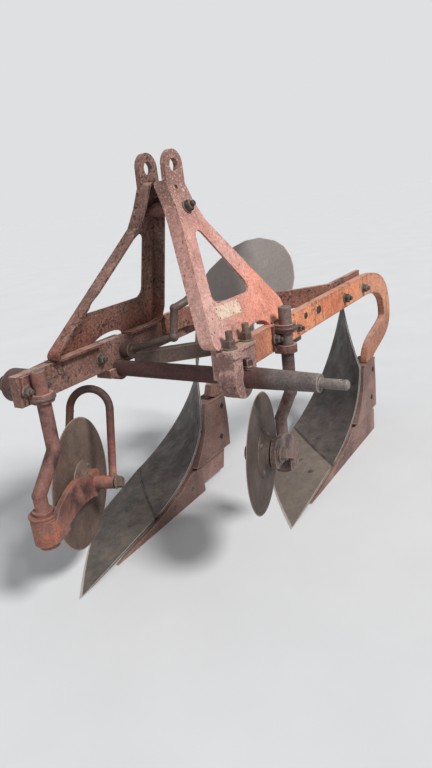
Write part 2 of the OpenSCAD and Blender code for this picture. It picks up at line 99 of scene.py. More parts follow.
class Shader:
    """A Principled material and short names for the nodes that feed it."""

    def __init__(self, name, metallic=0.0, roughness=0.7, specular=0.4):
        self.mat = bpy.data.materials.new(name)
        self.mat.use_nodes = True
        self.tree = self.mat.node_tree
        self.tree.nodes.clear()
        out = self.node("OutputMaterial")
        self.bsdf = self.node("BsdfPrincipled", Metallic=metallic, Roughness=roughness, Specular_IOR_Level=specular)
        self.link(self.bsdf.outputs[0], out.inputs["Surface"])
        self.coord = self.node("TexCoord")

    def node(self, kind, **inputs):
        """A new node with its inputs set; an underscore stands for the space in an input's name."""
        n = self.tree.nodes.new("ShaderNode" + kind)
        for key, value in inputs.items():
            n.inputs[key.replace("_", " ")].default_value = value
        return n

    def link(self, a, b):
        self.tree.links.new(a, b)

    def feed(self, socket, value):
        """Links the socket to another node's output, or sets it to a plain value."""
        if hasattr(value, "is_linked"):
            self.link(value, socket)
        else:
            socket.default_value = value

    def place(self, scale, source="Object"):
        m = self.node("Mapping", Scale=scale)
        self.link(self.coord.outputs[source], m.inputs["Vector"])
        return m.outputs[0]

    def noise(self, scale, detail=5, rough=0.6, warp=0.0, at=None):
        n = self.node("TexNoise", Scale=scale, Detail=detail, Roughness=rough, Distortion=warp)
        self.link(at or self.coord.outputs["Object"], n.inputs["Vector"])
        return n.outputs["Fac"]

    def ramp(self, fac, stops):
        n = self.node("ValToRGB")
        e = n.color_ramp.elements
        while len(e) < len(stops):
            e.new(0.5)
        for i, (pos, col) in enumerate(stops):
            e[i].position = pos
            e[i].color = col
        self.link(fac, n.inputs["Fac"])
        return n.outputs["Color"]

    def mask(self, fac, low, high):
        return self.ramp(fac, [(low, grey(0)), (high, grey(1))])

    def mix(self, fac, a, b, how="MIX"):
        n = self.node("Mix")
        n.data_type = "RGBA"
        n.blend_type = how
        for socket, value in ((n.inputs["Factor"], fac), (n.inputs[6], a), (n.inputs[7], b)):
            self.feed(socket, value)
        return n.outputs[2]

    def math(self, how, a, b):
        n = self.node("Math")
        n.operation = how
        for socket, value in zip(n.inputs, (a, b)):
            self.feed(socket, value)
        return n.outputs[0]

    def along(self, direction, low, high):
        """0 to 1 over a stretch of the part's own frame, in metres, with a wandering border."""
        d = self.node("VectorMath")
        d.operation = "DOT_PRODUCT"
        self.link(self.coord.outputs["Object"], d.inputs[0])
        d.inputs[1].default_value = direction
        drift = self.math("MULTIPLY", self.math("SUBTRACT", self.noise(9, 5, 0.65), 0.5), 0.12)
        r = self.node("MapRange", From_Min=low, From_Max=high)
        self.link(self.math("ADD", d.outputs["Value"], drift), r.inputs["Value"])
        return r.outputs["Result"]

    def facing_up(self):
        g = self.node("NewGeometry")
        s = self.node("SeparateXYZ")
        self.link(g.outputs["Normal"], s.inputs[0])
        return s.outputs["Z"]

    def edges(self, width):
        """White where the surface turns sharply within the width, on any mesh."""
        b = self.node("Bevel", Radius=width)
        b.samples = 6
        g = self.node("NewGeometry")
        d = self.node("VectorMath")
        d.operation = "DOT_PRODUCT"
        self.link(b.outputs[0], d.inputs[0])
        self.link(g.outputs["Normal"], d.inputs[1])
        return self.math("MULTIPLY", self.math("SUBTRACT", 1.0, d.outputs["Value"]), 6.0)

    def bump(self, height, strength, distance, before=None):
        n = self.node("Bump", Strength=strength, Distance=distance)
        self.link(height, n.inputs["Height"])
        if before:
            self.link(before, n.inputs["Normal"])
        return n.outputs[0]

    def finish(self, colour, rough=None, normal=None):
        self.link(colour, self.bsdf.inputs["Base Color"])
        if rough:
            self.link(rough, self.bsdf.inputs["Roughness"])
        if normal:
            self.link(normal, self.bsdf.inputs["Normal"])
        M[self.mat.name] = self.mat
        return self.mat


def painted(name, coats, rust, deep, wear, streak, grain=130, pits=1.0, pale=None, zones=(), rim=None):
    """Old paint gone chalky, with rust breaking through in grains, streaks and along the edges."""
    s = Shader(name, roughness=0.75, specular=0.3)
    paint = s.ramp(s.noise(6, 6, 0.62, 0.4), coats)
    for tone, direction, low, high, much in zones:
        paint = s.mix(s.math("MULTIPLY", s.along(direction, low, high), much), paint, lin(*tone))
    # rim: a band of colour along the rounded edges that stands for light on them; a dark rim is painted shade, a
    # light rim a painted highlight.
    if rim:
        band = s.math("MULTIPLY", s.edges(0.013), s.math("MULTIPLY", s.noise(26, 5, 0.7), 2.0))
        paint = s.mix(s.math("MULTIPLY", s.mask(band, 0.1, 0.6), 0.75), paint, lin(*rim))
    tint = s.noise(23, 5, 0.65, 0.4)
    paint = s.mix(0.5, paint, s.ramp(tint, [(0.3, lin(176, 160, 156)), (0.7, grey(1.0))]), "MULTIPLY")
    run = s.noise(10, 5, 0.65, 0.2, s.place((5, 5, 0.6)))
    paint = s.mix(s.math("MULTIPLY", s.mask(run, streak, streak + 0.16), 0.75), paint, lin(*rust))
    fine = s.noise(190, 4, 0.75)
    paint = s.mix(0.7, paint, s.ramp(fine, [(0.36, grey(0.4)), (0.62, grey(1.0))]), "MULTIPLY")
    speck = s.noise(grain, 5, 0.7, 0.4)
    blotch = s.noise(14, 5, 0.65, 0.6)
    eaten = s.math("ADD", s.math("MULTIPLY", speck, 0.74), s.math("MULTIPLY", blotch, 0.3))
    eaten = s.math("ADD", eaten, s.math("MULTIPLY", s.edges(0.005), 0.045))
    shown = s.mask(eaten, wear, wear + 0.045)
    dark = s.mask(eaten, wear + 0.06, wear + 0.12)
    rusty = s.ramp(s.noise(60, 5, 0.7), [(0.3, lin(*deep)), (0.62, lin(*rust))])
    colour = s.mix(shown, paint, rusty)
    colour = s.mix(dark, colour, lin(*[c * 0.7 for c in deep]))
    if pale:
        crumb = s.mask(s.noise(grain * 1.3, 4, 0.75, 0.3), 0.54, 0.66)
        much = s.math("MULTIPLY", s.along(UP, *pale[1]), pale[2]) if pale[1] else pale[2]
        colour = s.mix(s.math("MULTIPLY", crumb, much), colour, lin(*pale[0]))
    # Faces turned up are made paler: partly dust, partly painted light on the tops.
    paler_upward = s.mask(s.math("MULTIPLY", s.facing_up(), s.noise(20, 5, 0.7)), 0.33, 0.56)
    colour = s.mix(s.math("MULTIPLY", paler_upward, 0.65), colour, lin(186, 154, 138))
    normal = s.bump(speck, 0.5 * pits, 0.0014)
    normal = s.bump(shown, 0.3, -0.0006, normal)
    rough = s.ramp(eaten, [(0.4, grey(0.58)), (0.65, grey(0.9))])
    s.finish(colour, rough, normal)


def bare(name, tones, rust, amount, pits=1.0, metallic=0.25, scratch=None, source="Object", edge=None, zones=(),
         seam=None, grit=0.7, cloud=5.5, wear=0.8):
    """Uncoated iron: brown steel tones, rust patches, fine pits, and scratches along one way."""
    s = Shader(name, metallic=metallic, roughness=0.6)
    colour = s.ramp(s.noise(cloud, 6, 0.62, 0.5), tones)
    for tone, direction, low, high, much in zones:
        colour = s.mix(s.math("MULTIPLY", s.along(direction, low, high), much), colour, lin(*tone))
    patch = s.noise(19, 6, 0.7, 0.7)
    colour = s.mix(s.math("MULTIPLY", s.mask(patch, amount, amount + 0.14), 0.8), colour, lin(*rust))
    fine = s.noise(190, 5, 0.75)
    colour = s.mix(grit, colour, s.ramp(fine, [(0.36, grey(0.4)), (0.62, grey(1.0))]), "MULTIPLY")
    grain = s.noise(105, 6, 0.75)
    colour = s.mix(s.math("MULTIPLY", s.mask(grain, 0.58, 0.7), grit * 0.7), colour, lin(*[c * 0.5 for c in rust]))
    height = s.math("ADD", s.math("MULTIPLY", grain, 0.7), s.math("MULTIPLY", fine, 0.3))
    if scratch:
        line = s.noise(26, 5, 0.7, 0.1, s.place(scratch, source=source))
        colour = s.mix(s.math("MULTIPLY", s.mask(line, 0.54, 0.7), 0.3), colour, lin(168, 154, 140))
        colour = s.mix(s.math("MULTIPLY", s.mask(line, 0.46, 0.3), 0.3), colour, lin(48, 40, 36))
        height = s.math("ADD", s.math("MULTIPLY", height, 0.7), s.math("MULTIPLY", line, 0.3))
    if edge:
        worn = s.mask(s.math("MULTIPLY", s.edges(0.0045), s.noise(60, 4, 0.6)), 0.12, 0.5)
        if seam:
            v = s.node("SeparateXYZ")
            s.link(s.coord.outputs["UV"], v.inputs[0])
            worn = s.math("MULTIPLY", worn, s.mask(v.outputs["Y"], *seam))
            joint = s.math("SUBTRACT", 1.0, s.mask(v.outputs["Y"], seam[0] * 0.2, seam[0] * 0.5))
            colour = s.mix(s.math("MULTIPLY", joint, 0.8), colour, lin(34, 28, 26))
        colour = s.mix(s.math("MULTIPLY", worn, wear), colour, lin(*edge))
    # Faces turned up are made a little paler.
    paler_upward = s.mask(s.math("MULTIPLY", s.facing_up(), s.noise(24, 5, 0.7)), 0.4, 0.8)
    colour = s.mix(s.math("MULTIPLY", paler_upward, 0.3), colour, lin(166, 146, 128))
    rough = s.ramp(patch, [(0.35, grey(0.5)), (0.65, grey(0.86))])
    s.finish(colour, rough, s.bump(height, 0.5 * pits, 0.0011))


painted(
    "pink_paint",
    [(0.28, lin(186, 128, 114)), (0.45, lin(208, 152, 138)), (0.58, lin(220, 172, 160)), (0.74, lin(198, 138, 118))],
    (132, 84, 72), (84, 56, 52), wear=0.6, streak=0.57, grain=150, pits=0.8, pale=((232, 196, 184), (0.84, 0.9), 0.6),
    zones=(((214, 170, 158), (0, 1, 0), -0.33, -0.41, 0.75), ((236, 152, 124), (0, 1, -0.7), -0.80, -0.68, 0.75),
           ((130, 100, 90), (0, 0, 1), 0.84, 0.94, 0.8)))
painted(
    "orange_paint",
    [(0.3, lin(164, 96, 72)), (0.42, lin(208, 124, 86)), (0.54, lin(232, 154, 110)), (0.7, lin(186, 114, 90))],
    (120, 74, 60), (64, 42, 38), wear=0.578, streak=0.54, grain=120, pits=0.9, pale=((226, 180, 158), None, 0.2),
    # The dark rim is painted shade along the beam's rounded edges.
    rim=(142, 92, 82),
    zones=(((212, 156, 124), (0, 1, -0.3), 0.2, 0.34, 0.75), ((136, 88, 76), (0, 0, -1), -0.47, -0.38, 0.6),
           ((166, 114, 96), (0, -1, 0), 0.2, 0.27, 0.7)))
painted(
    "rust_paint",
    [(0.28, lin(92, 66, 58)), (0.45, lin(116, 84, 74)), (0.6, lin(140, 104, 92)), (0.76, lin(104, 72, 62))],
    (84, 60, 54), (46, 36, 34), wear=0.55, streak=0.6, grain=120, pits=1.5, pale=((172, 146, 134), None, 0.4))
painted(
    "dark_paint",
    [(0.28, lin(98, 73, 65)), (0.45, lin(126, 95, 84)), (0.6, lin(152, 117, 104)), (0.76, lin(114, 84, 74))],
    (80, 56, 50), (42, 32, 30), wear=0.535, streak=0.6, grain=130, pits=1.5, pale=((176, 150, 138), None, 0.5),
    zones=(((150, 88, 70), (0, 0, 1), 0.72, 0.64, 0.6),))
painted(
    "brown_paint",
    [(0.28, lin(84, 56, 54)), (0.45, lin(112, 76, 70)), (0.62, lin(142, 100, 90)), (0.78, lin(96, 66, 62))],
    (82, 56, 52), (44, 34, 34), wear=0.56, streak=0.58, grain=130, pits=1.1, pale=((186, 150, 138), None, 0.25))
# A lighter copy of brown_paint for the left bracket, with a light rim: painted sunlight on its faces and painted
# highlights along its edges.
painted(
    "bracket_paint",
    [(0.28, lin(122, 91, 86)), (0.45, lin(156, 121, 114)), (0.62, lin(186, 150, 140)), (0.78, lin(136, 103, 96))],
    (92, 64, 58), (50, 38, 38), wear=0.57, streak=0.58, grain=130, pits=1.0, pale=((206, 174, 162), None, 0.4),
    rim=(196, 162, 150))
bare(
    "pin_steel", [(0.3, lin(84, 74, 70)), (0.5, lin(112, 101, 97)), (0.7, lin(142, 132, 126))],
    (98, 74, 66), 0.58, 0.9, 0.3, edge=(186, 174, 164), zones=(((88, 58, 56), (1, 0, 0), 0.30, 0.25, 0.9),))
bare(
    "dark_steel", [(0.3, lin(78, 64, 58)), (0.5, lin(104, 88, 80)), (0.72, lin(130, 112, 102))],
    (98, 62, 50), 0.56, 1.0, 0.3, edge=(150, 130, 116))
bare(
    "stem_iron",
    [(0.34, lin(66, 48, 45)), (0.45, lin(116, 80, 72)), (0.54, lin(136, 96, 85)), (0.62, lin(178, 98, 70)),
     (0.72, lin(124, 72, 60))],
    (158, 78, 54), 0.55, 1.5, 0.15, edge=(190, 150, 134), cloud=11, wear=0.3)
bare(
    "fork_iron",
    [(0.34, lin(72, 50, 45)), (0.45, lin(120, 82, 72)), (0.54, lin(142, 98, 86)), (0.62, lin(182, 100, 70)),
     (0.72, lin(128, 74, 60))],
    (158, 78, 54), 0.55, 1.5, 0.15, edge=(190, 150, 134), cloud=11, wear=0.3,
    zones=(((108, 62, 55), (0, 0, 1), 0.30, 0.34, 0.7), ((66, 54, 48), (0, 0, 1), 0.38, 0.45, 0.85)))
bare(
    "disc_iron", [(0.3, lin(84, 68, 60)), (0.5, lin(106, 88, 78)), (0.7, lin(130, 112, 100))],
    (104, 70, 56), 0.55, 1.2, 0.15, edge=(166, 144, 128))
bare(
    "rear_stem_iron",
    [(0.34, lin(62, 50, 48)), (0.45, lin(92, 74, 69)), (0.54, lin(122, 102, 96)), (0.64, lin(112, 72, 60))],
    (112, 68, 54), 0.56, 1.4, 0.2, edge=(180, 156, 144), cloud=11, wear=0.4)
bare(
    "shaded_disc_iron", [(0.3, lin(56, 46, 42)), (0.5, lin(74, 62, 56)), (0.7, lin(94, 80, 72))],
    (80, 56, 46), 0.55, 1.2, 0.15, edge=(140, 120, 106))
bare(
    "frog_iron", [(0.3, lin(94, 70, 66)), (0.5, lin(128, 100, 92)), (0.7, lin(156, 126, 115))],
    (120, 78, 62), 0.55, 1.2, 0.1, edge=(164, 134, 120))
bare(
    "board_iron", [(0.3, lin(72, 65, 64)), (0.5, lin(80, 73, 71)), (0.72, lin(90, 83, 79))],
    (78, 66, 61), 0.6, 0.8, 0.25, (3, 34, 1), "UV", edge=(190, 180, 170), seam=(0.03, 0.07), grit=0.4)
bare(
    "face_iron", [(0.3, lin(66, 59, 57)), (0.5, lin(75, 68, 65)), (0.72, lin(86, 79, 75))],
    (74, 62, 57), 0.6, 0.8, 0.25, grit=0.4)
# The zone lightens the rear share: painted sunlight.
bare(
    "share_iron", [(0.3, lin(80, 73, 69)), (0.5, lin(92, 85, 80)), (0.72, lin(108, 100, 94))],
    (100, 82, 72), 0.62, 0.9, 0.25, (3, 22, 1), "UV", edge=(190, 180, 170), seam=(0.03, 0.07), grit=0.5,
    zones=(((150, 135, 123), (1, 0, 0), -0.15, -0.1, 0.62),))
# The zone darkens part of the sheet: a painted shadow of the mast.
bare(
    "sheet_iron", [(0.3, lin(176, 165, 157)), (0.5, lin(188, 177, 170)), (0.72, lin(198, 188, 181))],
    (158, 138, 126), 0.66, 0.6, 0.1, edge=(214, 206, 198), grit=0.35,
    zones=(((106, 99, 96), (1, 0, 0), -0.1, -0.2, 0.8),))
bare(
    "bolt_iron", [(0.3, lin(58, 50, 48)), (0.5, lin(80, 70, 66)), (0.72, lin(112, 98, 92))],
    (92, 62, 52), 0.56, 1.0, 0.3, edge=(150, 132, 120))
# Near-black: painted shade for holes that are not cut, and for the square frog bolts.
bare("hole_dark", [(0.3, lin(26, 20, 18)), (0.7, lin(44, 34, 30))], (52, 32, 26), 0.6, 1, 0)
bare("pale_mark", [(0.3, lin(196, 190, 182)), (0.7, lin(222, 218, 212))], (168, 158, 148), 0.5, 1, 0)


def threaded():
    s = Shader("thread_steel", metallic=0.3, roughness=0.6)
    w = s.node("TexWave", Scale=155, Distortion=0.3)
    w.bands_direction = "Z"
    s.link(s.coord.outputs["Object"], w.inputs["Vector"])
    tone = s.ramp(s.noise(40, 5, 0.7), [(0.35, lin(84, 68, 58)), (0.65, lin(132, 112, 96))])
    tone = s.mix(0.6, tone, s.ramp(w.outputs["Fac"], [(0.1, grey(0.35)), (0.7, grey(1.2))]), "MULTIPLY")
    s.finish(tone, None, s.bump(w.outputs["Fac"], 0.8, 0.001))


def plate_metal():
    s = Shader("plate_metal", metallic=0.35, roughness=0.5)
    tones = [(0.3, lin(180, 150, 130)), (0.5, lin(206, 182, 162)), (0.7, lin(222, 202, 184))]
    tone = s.ramp(s.noise(60, 6, 0.7, 0.5), tones)
    spot = s.mask(s.noise(90, 5, 0.7), 0.56, 0.62)
    tone = s.mix(spot, tone, lin(166, 104, 78))
    s.finish(tone, None, s.bump(s.noise(160, 5, 0.7), 0.4, 0.0006))


threaded()
plate_metal()

# The finish of each of the CAD's own nodes.
FINISH = {
    "front_beam": "rust_paint", "rear_beam": "orange_paint", "beam_brace": "dark_paint",
    "draft_bar": "dark_steel", "trash_shield": "sheet_iron",
    "mast_plate_left": "pink_paint", "mast_plate_right": "dark_paint", "mast_bolt": "brown_paint",
    "cross_shaft": "pin_steel", "shaft_bracket_left": "bracket_paint", "shaft_bracket_right": "rust_paint",
    "bracket_studs": "thread_steel", "adjusting_crank": "dark_steel",
}
for end in ("front", "rear"):
    FINISH.update({
        end + "_share": "share_iron", end + "_moldboard": "board_iron", end + "_frog": "frog_iron",
        end + "_landside": "frog_iron", end + "_coulter_clamp": "brown_paint",
        end + "_coulter_stem": "stem_iron", end + "_coulter_yoke": "stem_iron", end + "_coulter_disc": "disc_iron",
    })
FINISH.update({"rear_coulter_disc": "shaded_disc_iron", "rear_coulter_stem": "rear_stem_iron",
               "rear_coulter_yoke": "rear_stem_iron", "front_coulter_yoke": "fork_iron"})
SLOT_OF = {row["node"]: row["material_slot"] for row in frame["record"]["subparts"]}

for name, node in nodes.items():
    node.data.materials.clear()
    node.data.materials.append(M[FINISH[name]])
    weld = node.modifiers.new("weld", "WELD")
    weld.merge_threshold = WELD_GAP
    soft = node.modifiers.new("soft_edges", "BEVEL")
    soft.width = PLATE_EDGE if name.startswith("mast_plate") else PLAIN_EDGE
    soft.segments = 2
    soft.limit_method = "ANGLE"
    soft.angle_limit = math.radians(38)


# ---------------------------------------------------------------- geometry helpers
def piece(name, verts, faces, material, slot, body="frame", smooth=40, bevel=0.0, uv=None):
    """A mesh piece in place, with its finish, riding on its body; smooth is in degrees and bevel in mm."""
    mesh = bpy.data.meshes.new(name)
    mesh.from_pydata([tuple(v) for v in verts], [], faces)
    if uv:
        layer = mesh.uv_layers.new(name="flow")
        for loop in mesh.loops:
            layer.data[loop.index].uv = uv[loop.vertex_index]
    bm = bmesh.new()
    bm.from_mesh(mesh)
    bmesh.ops.recalc_face_normals(bm, faces=bm.faces)
    for e in bm.edges:
        e.smooth = len(e.link_faces) == 2 and e.calc_face_angle(0) < math.radians(smooth)
    for f in bm.faces:
        f.smooth = True
    bm.to_mesh(mesh)
    bm.free()
    obj = bpy.data.objects.new(name, mesh)
    bpy.context.scene.collection.objects.link(obj)
    obj.data.materials.append(M[material])
    if bevel:
        b = obj.modifiers.new("bevel", "BEVEL")
        b.width = bevel / 1000
        b.segments = 2
        b.limit_method = "ANGLE"
        b.angle_limit = math.radians(smooth)
    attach(obj, body)
    return obj


def basis(axis, up=UP):
    a = Vector(axis).normalized()
    u = Vector(up)
    if abs(a.dot(u)) > 0.95:
        u = Vector((1, 0, 0))
    b = u.cross(a).normalized()
    return b, a.cross(b), a


def round_the(n):
    """Cosine and sine at n even steps round a circle."""
    return [(math.cos(2 * math.pi * i / n), math.sin(2 * math.pi * i / n)) for i in range(n)]


def tube_faces(rings, n, closed=True):
    """Quads between rings of n points each, with a flat end on the last ring and, where closed, on the first."""
    faces = []
    for j in range(rings - 1):
        for i in range(n):
            p, q = j * n + i, j * n + (i + 1) % n
            faces.append((p, q, q + n, p + n))
    if closed:
        faces.append(tuple(range(n))[::-1])
    faces.append(tuple(range((rings - 1) * n, rings * n)))
    return faces


def turned(at, axis, profile, n=32, up=UP):
    """Points and faces of a turned form: profile is (distance along the axis, radius) in mm."""
    b, c, a = basis(axis, up)
    o = mm(*at)
    verts = []
    for d, r in profile:
        verts += [o + (a * d + (b * cos + c * sin) * r) / 1000 for cos, sin in round_the(n)]
    return verts, tube_faces(len(profile), n)


def join(*parts):
    """Several forms as one."""
    verts, faces = [], []
    for v, f in parts:
        k = len(verts)
        verts += v
        faces += [tuple(i + k for i in face) for face in f]
    return verts, faces


def hex_head(at, axis, across, height, spin):
    """A hexagon head or nut: six flats whose corners are turned off at the outer end."""
    b, c, a = basis(axis)
    o = mm(*at)
    r = across / math.sqrt(3)
    verts = []
    for d, k in ((0, 1), (height * 0.78, 1), (height, 0.86)):
        for i in range(6):
            t = math.pi * i / 3 + math.radians(spin)
            verts.append(o + (a * d + (b * math.cos(t) + c * math.sin(t)) * r * k) / 1000)
    return verts, tube_faces(3, 6)


def bolt(name, at, axis, across, stud, slot, material="bolt_iron"):
    """A washer, a hexagon nut on it and the end of the bolt standing out of the nut."""
    at, a = Vector(at), Vector(axis).normalized()
    washer, r = 2.6, across * 0.29
    parts = join(
        turned(at, axis, [(-0.5, across * 0.66), (1.8, across * 0.66), (washer, across * 0.62)], 28),
        hex_head(at + a * washer, axis, across, across * 0.55, rnd.uniform(0, 60)),
        turned(at + a * (washer + across * 0.5), axis, [(0, r), (stud - 1, r), (stud, across * 0.22)], 20))
    piece(name, *parts, material, slot, smooth=35, bevel=0.5)


def dark_hole(name, at, axis, r, slot, long=0.0):
    """A drilled hole in a bar, drawn as painted shade: a dark floor with a rolled, rusty lip standing just proud of
    the face.
    """
    b, c, a = basis(axis)
    o = mm(*at)
    rings = [(r + 1.8, 0.0), (r + 0.9, 0.7), (r, 0.5), (r - 0.6, 0.15), (r * 0.5, 0.12)]
    verts = []
    n = 36
    for rad, h in rings:
        for cos, sin in round_the(n):
            shift = math.copysign(long / 2, cos)
            verts.append(o + (a * h + b * (cos * rad + shift) + c * sin * rad) / 1000)
    piece(name, verts, tube_faces(len(rings), n, closed=False), "hole_dark", slot, smooth=60)


def rod(name, points, r, material, slot, n, rough=0.0):
    """A round bar along a smooth line through the points, in mm; rough makes it lumpy, as a weld is."""
    pts = [mm(*p) for p in points]
    line = []
    for i in range(len(pts) - 1):
        p0, p1, p2, p3 = pts[max(i - 1, 0)], pts[i], pts[i + 1], pts[min(i + 2, len(pts) - 1)]
        steps = max(2, int((p2 - p1).length * 1000 / max(2.0, r * 0.6)))
        for k in range(steps):
            t = k / steps
            square, cube = 2 * p0 - 5 * p1 + 4 * p2 - p3, 3 * p1 - p0 - 3 * p2 + p3
            line.append(0.5 * ((2 * p1) + (p2 - p0) * t + square * t * t + cube * t ** 3))
    line.append(pts[-1])
    verts = []
    side = None
    for i, p in enumerate(line):
        d = (line[min(i + 1, len(line) - 1)] - line[max(i - 1, 0)]).normalized()
        if side is None:
            side = basis(d)[0]
        side = (side - d * side.dot(d)).normalized()
        other = d.cross(side)
        grow = 1 + rough * (0.5 * noise.noise(p * 160) + 0.35 * math.sin(i * 1.9))
        verts += [p + (side * cos + other * sin) * r * grow / 1000 for cos, sin in round_the(n)]
    piece(name, verts, tube_faces(len(line), n), material, slot, smooth=50)


def sheet_plate(name, outline, thickness, origin, u, v, material, slot, bevel, smooth=35):
    """A flat plate: an outline in mm along u and v from the origin, thick along u x v."""
    o = mm(*origin)
    u, v = Vector(u).normalized(), Vector(v).normalized()
    w = u.cross(v)
    n = len(outline)
    verts = [o + (u * a + v * b) / 1000 for a, b in outline]
    verts += [p + w * thickness / 1000 for p in verts]
    faces = [tuple(range(n))[::-1], tuple(range(n, 2 * n))]
    faces += [(i, (i + 1) % n, (i + 1) % n + n, i + n) for i in range(n)]
    return piece(name, verts, faces, material, slot, smooth=smooth, bevel=bevel)


# ---------------------------------------------------------------- moldboards and shares
# The same control points as the CAD sheet: from the share point, rows shin to wing, columns bottom to top.
BOARD = [
    [(-2, 330, 46), (-2, 480, 74), (-2, 612, 150), (-2, 620, 285)],
    [(-80, 392, 54), (-102, 575, 88), (-84, 700, 190), (-52, 690, 345)],
    [(-160, 462, 60), (-188, 750, 114), (-165, 850, 255), (-98, 755, 410)],
    [(-235, 545, 64), (-250, 890, 122), (-235, 1010, 300), (-142, 845, 470)],
]
BOARD_THICK, SEAT, SHARE_THICK = 6, 0.3, 9


def bez(a, t):
    """A place on a cubic curve of four control points."""
    s = 1 - t
    return a[0] * s ** 3 + a[1] * 3 * s * s * t + a[2] * 3 * s * t * t + a[3] * t ** 3


def patch(u, v):
    """A place on the board's face, from the share point: u from shin to wing, v from bottom to top."""
    return bez([bez([Vector(p) for p in row], v) for row in BOARD], u)


def back_of(u, v):
    """The direction straight out of the board's back at a place."""
    e = 0.01
    du = patch(min(u + e, 1), v) - patch(max(u - e, 0), v)
    dv = patch(u, min(v + e, 1)) - patch(u, max(v - e, 0))
    return du.cross(dv).normalized()


def cutting_edge(t):
    """The share's cutting edge, from the share point out to the wing."""
    return Vector((-235 * t, 326 * t - 14 * math.sin(math.pi * t), 0))


def closed_grid(rows):
    """Faces of a closed skin over two equal grids of points, the second behind the first."""
    n, m = len(rows) // 2, len(rows[0])
    verts = [p for row in rows for p in row]
    k = n * m
    faces = []
    for i in range(n - 1):
        for j in range(m - 1):
            p = i * m + j
            faces.append((p, p + m, p + m + 1, p + 1))
            faces.append((k + p, k + p + 1, k + p + m + 1, k + p + m))
    for i in range(n - 1):
        for j in (0, m - 1):
            p = i * m + j
            faces.append((p, p + m, k + p + m, k + p))
    for j in range(m - 1):
        for i in (0, n - 1):
            p = i * m + j
            faces.append((p, p + 1, k + p + 1, k + p))
    return verts, faces


def moldboard(end, tip):
    """The moldboard drawn finer than the CAD sheet, on the same surface, with a slightly worn top edge."""
    nu, nv = 44, 40
    face, back, uv = [], [], []
    for i in range(nu + 1):
        front_row, back_row = [], []
        for j in range(nv + 1):
            u, v = i / nu, j / nv
            if j == nv:
                v -= 0.006 * (0.5 + 0.5 * noise.noise(Vector((i * 0.35, tip[0], 3))))
            if i == nu:
                u -= 0.006 * (0.5 + 0.5 * noise.noise(Vector((j * 0.4, tip[0], 9))))
            p, nrm = patch(u, v), back_of(u, v)
            wave = 0.5 * noise.noise(Vector((u * 5, v * 5, tip[0])))
            front_row.append(mm(*(Vector(tip) + p + nrm * (0.4 + wave * 0.6))))
            back_row.append(mm(*(Vector(tip) + p + nrm * BOARD_THICK)))
            uv.append((u, v * 1.1))
        face.append(front_row)
        back.append(back_row)
    verts, faces = closed_grid(face + back)
    obj = piece(end + "_moldboard_skin", verts, faces, "board_iron", "soil_iron", smooth=60, uv=uv + uv)
    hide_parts(end + "_moldboard")


def share(end, tip):
    """The share: a wedge whose cutting edge is worn a little uneven."""
    n, m = 48, 8
    top, low, uv = [], [], []
    for i in range(n + 1):
        t = i / n
        seam = patch(t, 0) - Vector((0, SEAT, 0))
        worn = 2.2 * (0.5 + 0.5 * noise.noise(Vector((i * 0.33, tip[0], 1)))) * math.sin(math.pi * min(t * 1.2, 1))
        edge = cutting_edge(t) + Vector((0, worn, 0))
        under = seam - Vector((0, 6, SHARE_THICK + 3))
        heel = edge + Vector((0, 26, 0))
        row, row2 = [], []
        for j in range(m + 1):
            s = j / m
            row.append(mm(*(Vector(tip) + edge.lerp(seam, s))))
            row2.append(mm(*(Vector(tip) + (heel.lerp(under, s) if j else edge + Vector((0, 1, 0))))))
            uv.append((t * 0.8, 0.6 - s * 0.6))
        top.append(row)
        low.append(row2)
    verts, faces = closed_grid(top + low)
    obj = piece(end + "_share_skin", verts, faces, "share_iron", "soil_iron", smooth=40, uv=uv + uv)
    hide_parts(end + "_share")


def flat_bolt(name, at, axis, r, material="face_iron"):
    """The countersunk head of a plough bolt, flush in the sheet, with the ring of dirt round it."""
    profile = [(-1.0, r + 1.4), (0.5, r + 1.2), (0.55, r + 0.2), (0.15, r), (0.9, r - 1.2), (1.1, r * 0.4)]
    piece(name, *turned(at, axis, profile, 28), material, "soil_iron", smooth=30)


for end, tip in BOTTOMS:
    moldboard(end, tip)
    share(end, tip)
    for i, (u, v) in enumerate(((0.16, 0.1), (0.42, 0.1), (0.12, 0.42), (0.3, 0.5), (0.14, 0.78))):
        flat_bolt(f"{end}_board_bolt_{i + 1}", Vector(tip) + patch(u, v), -back_of(u, v), 9)
    for i, t in enumerate((0.24, 0.5)):
        seam, edge = patch(t, 0), cutting_edge(t)
        p = edge.lerp(seam, 0.7)
        along = (patch(t + 0.05, 0) - patch(t - 0.05, 0)).normalized()
        nrm = along.cross((seam - edge).normalized())
        nrm = nrm if nrm.z > 0 else -nrm
        flat_bolt(f"{end}_share_bolt_{i + 1}", Vector(tip) + p, nrm, 10,
                  "bolt_iron" if end == "rear" else "face_iron")


